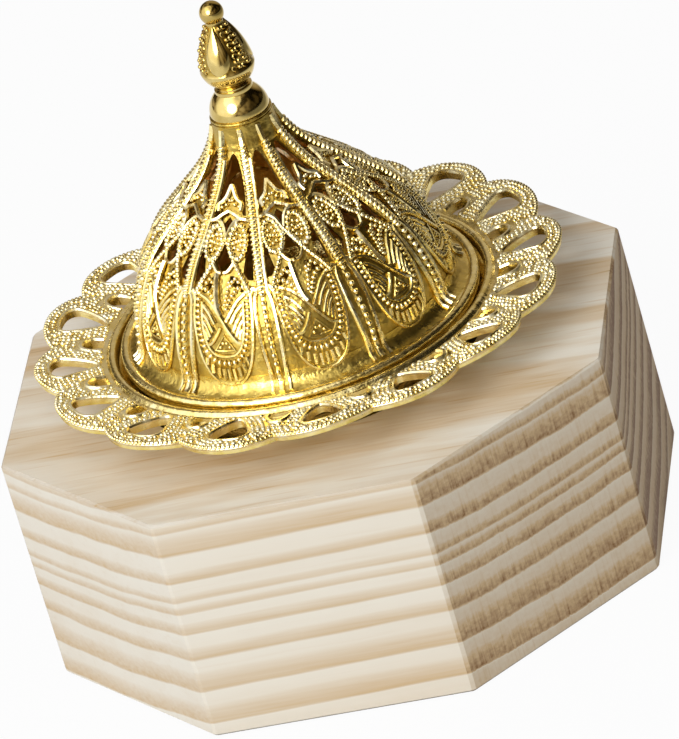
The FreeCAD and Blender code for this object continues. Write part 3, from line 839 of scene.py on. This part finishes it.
# the openings of one bay as (angle, climb): crown window, lozenge, triangle, leaning slots, slits
window = [
    (-12.6, 29.2), (-12.8, 31.5), (-12.3, 34.0), (-10.5, 36.4), (-7.5, 38.1), (-3.5, 39.0), (0.0, 39.3),
    (3.5, 39.0), (7.5, 38.1), (10.5, 36.4), (12.3, 34.0), (12.8, 31.5), (12.6, 29.2), (10.4, 29.3),
    (9.2, 30.2), (10.0, 31.3), (7.0, 31.9), (4.6, 32.6), (2.4, 33.7), (0.0, 34.5), (-2.4, 33.7),
    (-4.6, 32.6), (-7.0, 31.9), (-10.0, 31.3), (-9.2, 30.2), (-10.4, 29.3)]
lozenge = [(-2.4, 20.2), (0.0, 19.9), (2.4, 20.2), (4.6, 21.5), (2.4, 23.2), (0.0, 25.2), (-2.4, 23.2),
           (-4.6, 21.5)]
triangle = [(-3.9, 28.1), (-2.2, 27.2), (0.0, 26.6), (2.2, 27.2), (3.9, 28.1), (0.0, 29.3)]
slot = [(10.2, 19.6), (12.2, 18.4), (14.9, 18.2), (15.4, 20.2), (15.8, 23.5), (15.9, 27.1), (13.6, 27.2),
        (13.2, 25.2), (12.0, 22.8)]
slit = [(3.3, 18.2), (8.8, 16.4), (10.2, 16.6), (9.0, 17.7), (5.4, 19.3), (3.6, 19.3)]
lid_openings = [[(x * BAY_SCALE, y) for x, y in opening]
                for opening in (window, lozenge, triangle, slot, mirrored(slot), slit, mirrored(slit))]
lid_bay = pierced_plate("lid_bay", BAY_HALF * BAY_SCALE, SHELL_FOOT, SHELL_TOP,
                        columns=26, rows=44, thickness=SHELL, openings=lid_openings)
lid_shell = ring_of("lid_shell", lid_bay, BAYS, BAY_HALF * BAY_SCALE, bend_bay)
finish_piece(lid_shell, gilt, lid_wear_and_light, smooth_angle=35)

RING_ROLL = 28.35
ring_outline = (
    [(25.4, 45.4), (28.9, 45.4)]
    + three_point_arc((28.9, 45.4), (29.65, 45.75), (29.9, 46.5), 6)[1:]
    + three_point_arc((29.9, 46.6), (29.35, 47.95), (28.4, 47.5), 12)
    + three_point_arc((28.35, 47.45), (26.95, 48.2), (26.1, 50.2), 8)
    + [(25.4, 50.1), (25.4, 45.4)])
lid_ring = turned("lid_ring", ring_outline)
# the rolled edge is paler, partly wear and partly painted highlight, and painted shade darkens the
# hollow inside it
finish_piece(lid_ring, gilt, lambda point: 0.73 if hypot(point.x, point.y) > RING_ROLL else 0.36)

NECK_START = 39.2
NECK_STEPS = 9
NECK_LIP_Z = 84.2
DOME_END = CONE_END + THROAT_RADIUS * (SHOULDER_LEAN - THROAT_TOP_LEAN)
neck_outline = [(4.4, 79.2)]
for step in range(NECK_STEPS + 1):
    share = step / NECK_STEPS
    radius, height, lean = dome_profile(NECK_START + (DOME_END - 0.6 - NECK_START) * share)
    lift = GROUND * (1.0 - share) - (0.25 if step == 0 else 0.0)
    neck_outline.append((radius + lift * cos(lean), height + lift * sin(lean)))
neck_outline += [(4.98, 84.15), (5.14, 84.3), (5.14, 84.5), (5.0, 84.635), (3.2, 84.635), (3.2, 80.0),
                 (4.4, 79.2)]
lid_neck = turned("lid_neck", neck_outline, steps=96)
# painted shade keeps the neck dark, and its lip a little less
finish_piece(lid_neck, gilt, lambda point: 0.2 if point.z > NECK_LIP_Z else 0.13)

lid_lines = []
lid_seats = []


def lay(bay, points, radius, lift=None, closed=False, steps=6):
    """A plain wire laid on the dome along these (angle, climb) points of one bay."""
    line = smooth_line(list(points) + ([points[0]] if closed else []), steps)
    if closed:
        line = line[:-1]
    lift = GROUND + radius * 0.45 if lift is None else lift
    lid_lines.append(([on_dome(bay * BAY_PITCH + a, s, lift) for a, s in line], radius, closed))


def string(bay, points, pitch, half_length, half_width, height, slant=0.0, lift=GROUND + 0.06):
    """A string of beads along these (angle, climb) points of one bay."""
    line = [on_dome(bay * BAY_PITCH + a, s, lift) for a, s in smooth_line(points, 8)]
    for place, along in steps_along(line, pitch):
        lean = off_dome(place / MM)[1]
        turn = atan2(place.y, place.x)
        out = Vector((cos(lean) * cos(turn), cos(lean) * sin(turn), sin(lean)))
        if slant:
            along = Matrix.Rotation(slant, 3, out) @ along
        lid_seats.append((place, along, out, half_length, half_width, height))


def mirror_pair(bay, work, points, *sizes, **more):
    """The same work on both sides of a bay's middle line."""
    for side in (-1, 1):
        work(bay, [(side * a, s) for a, s in points], *sizes, **more)


def on_rib(*climbs):
    """Points on the rib after a bay, at these climbs."""
    return [(BAY_HALF, climb) for climb in climbs]


# the foot of a rib as (radius, height), spread out on the ring
RIB_FOOT = [(26.15, 51.2), (26.25, 50.0), (26.5, 49.1), (27.0, 48.35), (27.9, 47.8)]
for bay in range(BAYS):
    # rib between this bay and the next: a slanting rope above, beads in a narrow frame below
    string(bay, on_rib(16.4, 24.0, 31.0, 40.0), 0.86, 0.40, 0.86, 0.78, 0.25, -0.3)
    lay(bay, [(20.6, 16.0), (21.0, 22.0), (21.8, 28.0), (23.0, 33.0), (25.2, 38.2)], 0.30, -0.22)
    lay(bay, on_rib(15.8, 26.0, 34.0, 39.0), 0.72, -0.62)
    lay(bay, on_rib(38.0, 40.5, 43.0), 0.55, -0.28)
    lay(bay, on_rib(0.4, 8.0, 16.0), 0.46, -0.72)
    string(bay, on_rib(1.2, 8.0, 15.6), 1.42, 0.56, 0.52, 0.74, 0.0, -0.45)
    for aside, radius in ((-3.1, 0.34), (0.0, 0.52), (3.1, 0.34)):
        turn = radians(bay * BAY_PITCH + BAY_HALF + aside)
        foot = [Vector((r * cos(turn), r * sin(turn), z)) * MM for r, z in RIB_FOOT]
        lid_lines.append((foot, radius, False))

    # narrow arch beside the rib, and the thin line round the hanging medallion
    mirror_pair(bay, lay, [
        (18.0, 16.9), (15.9, 16.4), (14.5, 14.8), (14.1, 12.0), (14.4, 8.0), (15.0, 4.0),
        (15.8, 0.5)], 0.42)
    mirror_pair(bay, lay, [
        (13.0, 15.8), (12.7, 12.4), (11.6, 9.0), (10.3, 6.3), (8.6, 4.1), (6.4, 2.4), (3.4, 1.3),
        (0.0, 0.95)], 0.34)
    mirror_pair(bay, lay, [(15.8, 16.5), (14.2, 16.8), (12.7, 15.9)], 0.45)

    # beads round the medallion, the plain line inside them and the fan of bars below
    mirror_pair(bay, string, [
        (11.4, 16.4), (11.2, 13.4), (10.4, 10.9), (9.2, 8.6), (7.7, 6.9), (5.9, 5.8), (3.9, 5.15),
        (1.9, 4.9), (0.95, 4.85)], 0.96, 0.40, 0.60, 0.68)
    mirror_pair(bay, lay, [
        (9.5, 15.0), (9.0, 11.6), (8.0, 9.2), (6.4, 7.4), (4.2, 6.4), (2.0, 6.1), (0.0, 6.05)], 0.30)
    for a, foot, top in ((2.0, 1.9, 4.0), (4.05, 2.4, 4.2), (6.2, 3.2, 4.8), (8.1, 4.6, 5.9)):
        mirror_pair(bay, lay, [(a * 0.97, top), (a * 1.04, foot)], 0.36, steps=2)
    lay(bay, [(0.0, 1.8), (0.0, 4.0)], 0.36, steps=2)

    # two leaves cross in the middle of the medallion: a beaded rim, a plain rim and long ridges
    mirror_pair(bay, string, [
        (10.0, 17.3), (7.2, 17.0), (4.4, 15.8), (2.0, 13.9)], 0.84, 0.38, 0.55, 0.66)
    lay(bay, [
        (-10.4, 16.2), (-6.5, 15.4), (-3.0, 13.9), (0.0, 11.9), (2.4, 10.2), (5.2, 8.5),
        (7.4, 8.1)], 0.36)
    lay(bay, [(10.4, 16.2), (6.9, 15.1), (3.8, 13.4), (1.4, 11.9)], 0.36)
    lay(bay, [(-1.2, 10.9), (-3.4, 9.3), (-5.6, 8.2), (-7.4, 8.1)], 0.34)
    for (a, s), (b, r) in (
            ((8.9, 14.5), (3.4, 11.5)), ((9.0, 13.2), (4.2, 10.2)), ((8.7, 11.9), (5.4, 9.4)),
            ((8.2, 10.4), (6.6, 8.9))):
        mirror_pair(bay, lay, [
            (a, s), ((a + b) / 2 - 0.2, (s + r) / 2 + 0.3), (b, r)], 0.33, -0.5, steps=3)

    # bent bar over the crossing, and the little beaded gable below it
    lay(bay, [(-0.4, 12.9), (-1.9, 14.4), (-2.5, 16.6), (-2.8, 19.7)], 0.46, -0.3)
    lay(bay, [(-4.0, 7.1), (0.0, 9.6), (4.0, 7.1), (0.0, 6.95)], 0.26, closed=True, steps=1)
    string(bay, [(-1.9, 7.6), (0.0, 8.5), (1.9, 7.6)], 0.8, 0.36, 0.36, 0.45)
    mirror_pair(bay, string, [(1.3, 14.6), (2.6, 16.4), (3.5, 18.2)], 0.8, 0.38, 0.40, 0.5, lift=-0.6)
    mirror_pair(bay, string, [(4.2, 17.6), (6.0, 18.8), (8.0, 18.2)], 0.8, 0.38, 0.40, 0.5, lift=-0.6)

    # beaded cord that climbs from the medallion, crosses its fellow and ends on the far rib
    climb = [(12.8, 16.4), (10.8, 18.2), (8.4, 19.8), (5.9, 21.5), (3.1, 23.4), (0.0, 25.5)]
    mirror_pair(bay, lay, climb, 0.30, -0.35)
    mirror_pair(bay, string, climb, 0.80, 0.42, 0.44, 0.42, lift=-0.28)
    mirror_pair(bay, lay, [
        (0.0, 25.5), (-3.2, 27.6), (-7.6, 28.6), (-12.4, 28.5), (-17.0, 28.1)], 0.34, -0.25)
    mirror_pair(bay, lay, [(0.6, 19.8), (3.0, 20.1), (5.9, 21.5)], 0.32, -0.38)

    # oval loop: a cord with a row of beads on it, and a smaller ring of beads in its middle
    oval = [(2.2, 24.6), (4.2, 22.9), (7.0, 22.0), (10.0, 22.4), (12.0, 23.9), (12.5, 25.8),
            (10.6, 27.3), (7.0, 27.7), (3.8, 26.6)]
    mirror_pair(bay, lay, oval, 0.30, -0.4, closed=True)
    mirror_pair(bay, string, oval + oval[:1], 0.84, 0.44, 0.56, 0.55, lift=-0.4)
    mirror_pair(bay, string, [
        (4.9, 24.7), (6.6, 23.6), (9.0, 23.8), (10.1, 25.2), (8.8, 26.2), (6.2, 26.1),
        (4.9, 24.7)], 0.84, 0.38, 0.38, 0.5, lift=-0.55)
    mirror_pair(bay, string, [(7.0, 24.9), (8.6, 25.0)], 0.84, 0.40, 0.40, 0.6, lift=-0.6)

    # crown: its foot arch, its side lobe and its border up to the point
    mirror_pair(bay, lay, [(13.6, 28.4), (9.6, 28.7), (5.6, 29.4), (0.0, 30.1)], 0.40, -0.22)
    mirror_pair(bay, lay, [
        (9.3, 30.0), (10.0, 31.2), (7.2, 31.75), (4.6, 32.4), (2.4, 33.4), (0.0, 34.4)], 0.38, -0.3)
    mirror_pair(bay, string, [(7.6, 30.8), (4.4, 31.1), (1.2, 31.9)], 0.8, 0.36, 0.36, 0.5, lift=-0.6)

lid_scrolls = wires("lid_scrolls", lid_lines)
lid_beads = beads("lid_beads", lid_seats)
for piece in (lid_scrolls, lid_beads):
    finish_piece(piece, gilt, lid_wear_and_light)
for piece in (lid_shell, lid_ring, lid_neck, lid_scrolls, lid_beads):
    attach(piece, "lid")
    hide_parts("lid")


# Finial: one polished gilt turning, screwed down on the neck: a domed collar, a thin lip, an
# acorn with three smooth lenses and curled beads between them, and a ball.

POLISH_DULL = (0.54, 0.39, 0.11, 1.0)
POLISH_BRIGHT = (0.73, 0.57, 0.22, 1.0)

polished, tree, surface = new_material("polished_gilt")
place = add_node(tree, "TexCoord").outputs["Object"]
haze = noise(tree, place, 420.0, 3.0)
colour = ramp(tree, haze, [(0.3, POLISH_DULL), (0.7, POLISH_BRIGHT)])
wear_and_painted_light = add_node(tree, "Attribute", attribute_name="wear_and_painted_light").outputs["Fac"]
# painted shade: a low level darkens the polish towards GILT_SHADE
tint = blend(tree, wear_and_painted_light, GILT_SHADE, colour.outputs[0])
feed(surface, {"Base Color": tint, "Metallic": 1.0,
               "Roughness": maths(tree, "MULTIPLY_ADD", haze, 0.12, 0.06)})

ACORN_FOOT_Z = 89.7
ACORN_BELLY_Z = 92.6
ACORN_TOP_Z = 101.0
PANELS = 3
PANEL_PITCH = 360 / PANELS
PANEL_SET = 0.28
FIRST_LENS = -97.0
LENS_FOOT_Z = 92.9
LENS_TOP_Z = 100.7
LENS_HALF = 32.0
CURL_ROWS = 8
acorn_band = three_point_arc((2.65, ACORN_FOOT_Z), (4.12, 91.4), (4.52, ACORN_BELLY_Z), 7)
acorn_side = three_point_arc((4.52, 93.1), (3.55, 97.2), (1.45, ACORN_TOP_Z), 16)
finial_outline = (
    [(1.53, 84.635), (4.8, 84.635), (4.92, 84.75)]
    + three_point_arc((4.92, 84.75), (4.45, 86.84), (3.1, 88.5), 10)[1:]
    + [(3.15, 88.65), (3.1, 89.1), (2.6, 89.2), (2.55, 89.45)] + acorn_band
    + [(4.5, 92.85), (4.52 - PANEL_SET, 93.2)]
    + [(radius - PANEL_SET, height) for radius, height in acorn_side[2:-1]]
    + [(1.45, ACORN_TOP_Z)]
    + three_point_arc((1.45, 101.05), (2.0, 102.45), (0.25, 104.42), 12))
finial_turning = turned("finial_turning", finial_outline, steps=96, closed=False)


def acorn_radius(height):
    """The acorn's radius at this height, between the points of its side."""
    for (low_radius, low), (high_radius, high) in zip(acorn_side, acorn_side[1:]):
        if height <= high:
            return low_radius + (high_radius - low_radius) * max(0.0, height - low) / (high - low)
    return acorn_side[-1][0]


def on_acorn(angle, height, lift=0.0):
    """A place on the acorn in metres."""
    turn = radians(angle)
    radius = acorn_radius(height) + lift
    return Vector((radius * cos(turn), radius * sin(turn), height)) * MM


def lens_half_angle(height):
    """Half the width of a smooth lens at this height, in degrees: pointed above and below."""
    share = (height - LENS_FOOT_Z) / (LENS_TOP_Z - LENS_FOOT_Z)
    return LENS_HALF * max(0.0, sin(pi * share ** 0.8)) ** 0.6 if 0 < share < 1 else 0.0


# three smooth lenses that stand proud of the acorn
lenses = []
for copy in range(PANELS):
    bpy.ops.mesh.primitive_grid_add(x_subdivisions=14, y_subdivisions=22, size=1.0)
    lens = bpy.context.object
    for vertex in lens.data.vertices:
        across_share = vertex.co.x * 2
        height = LENS_FOOT_Z + (vertex.co.y + 0.5) * (LENS_TOP_Z - LENS_FOOT_Z)
        angle = FIRST_LENS + copy * PANEL_PITCH + across_share * lens_half_angle(height)
        swell = 0.42 * (1 - across_share ** 2) ** 0.5 - 0.36
        vertex.co = on_acorn(angle, height, swell)
    lenses.append(lens)
bpy.ops.object.select_all(action="DESELECT")
for lens in lenses:
    lens.select_set(True)
bpy.context.view_layer.objects.active = lenses[0]
bpy.ops.object.join()
finial_lenses = bpy.context.object
finial_lenses.name = "finial_lenses"
edit_all()
bpy.ops.mesh.remove_doubles(threshold=1e-7)
bpy.ops.object.mode_set(mode="OBJECT")
thicken(finial_lenses, 0.3 * MM)

# in the panels between them beads take turns with three-quarter loops of wire
curl_seats = []
curl_lines = []
for copy in range(PANELS):
    middle = FIRST_LENS + (copy + 0.5) * PANEL_PITCH
    for row in range(CURL_ROWS):
        height = 93.7 + row * 0.92
        half = PANEL_PITCH / 2 - lens_half_angle(height) - 7.0
        count = max(1, round(radians(2 * half) * acorn_radius(height) / 1.02))
        for step in range(count):
            angle = middle + half * (2 * (step + 0.5) / count - 1)
            place = on_acorn(angle, height, -PANEL_SET)
            turn = radians(angle)
            out = Vector((cos(turn), sin(turn), 0.35)).normalized()
            side = Vector((-sin(turn), cos(turn), 0.0))
            if (row + step) % 2:
                curl_seats.append((place, side, out, 0.40, 0.40, 0.42))
            else:
                up = out.cross(side)
                loop = [place + (side * cos(t * pi / 4) + up * sin(t * pi / 4)) * 0.36 * MM
                        for t in range(7)]
                curl_lines.append((loop, 0.17, False))
finial_curls = beads("finial_curls", curl_seats)
finial_loops = wires("finial_loops", curl_lines)


def finial_wear_and_light(point):
    """How bright the finial is: dark down in the panels, partly patina and partly painted shade, and a
    little darker on the ball, which is painted shade.
    """
    sunk = 93.0 < point.z < 100.9 and hypot(point.x, point.y) < acorn_radius(point.z) - 0.15
    return 0.1 if sunk else 0.55 if point.z > ACORN_TOP_Z else 1.0


finish_piece(finial_turning, polished, finial_wear_and_light)
finish_piece(finial_lenses, polished)
# the curls and loops in the panels are darker, partly patina and partly painted shade
for piece in (finial_loops, finial_curls):
    finish_piece(piece, polished, lambda point: 0.6)
for piece in (finial_turning, finial_lenses, finial_loops, finial_curls):
    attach(piece, "lid")
    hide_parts("finial")


# Finial screw: a plain steel machine screw that comes up through the neck, out of sight.

STEEL_DARK = (0.42, 0.42, 0.43, 1.0)
STEEL_PALE = (0.56, 0.56, 0.57, 1.0)

steel, tree, surface = new_material("screw_steel")
place = add_node(tree, "TexCoord").outputs["Object"]
drawn = noise(tree, scaled(tree, place, (1.0, 1.0, 8.0)), 700.0, 2.0)
colour = ramp(tree, drawn, [(0.3, STEEL_DARK), (0.7, STEEL_PALE)])
feed(surface, {"Base Color": colour.outputs[0], "Metallic": 1.0,
               "Roughness": maths(tree, "MULTIPLY_ADD", drawn, 0.15, 0.22)})
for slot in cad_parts["finial_screw"].material_slots:
    slot.material = steel
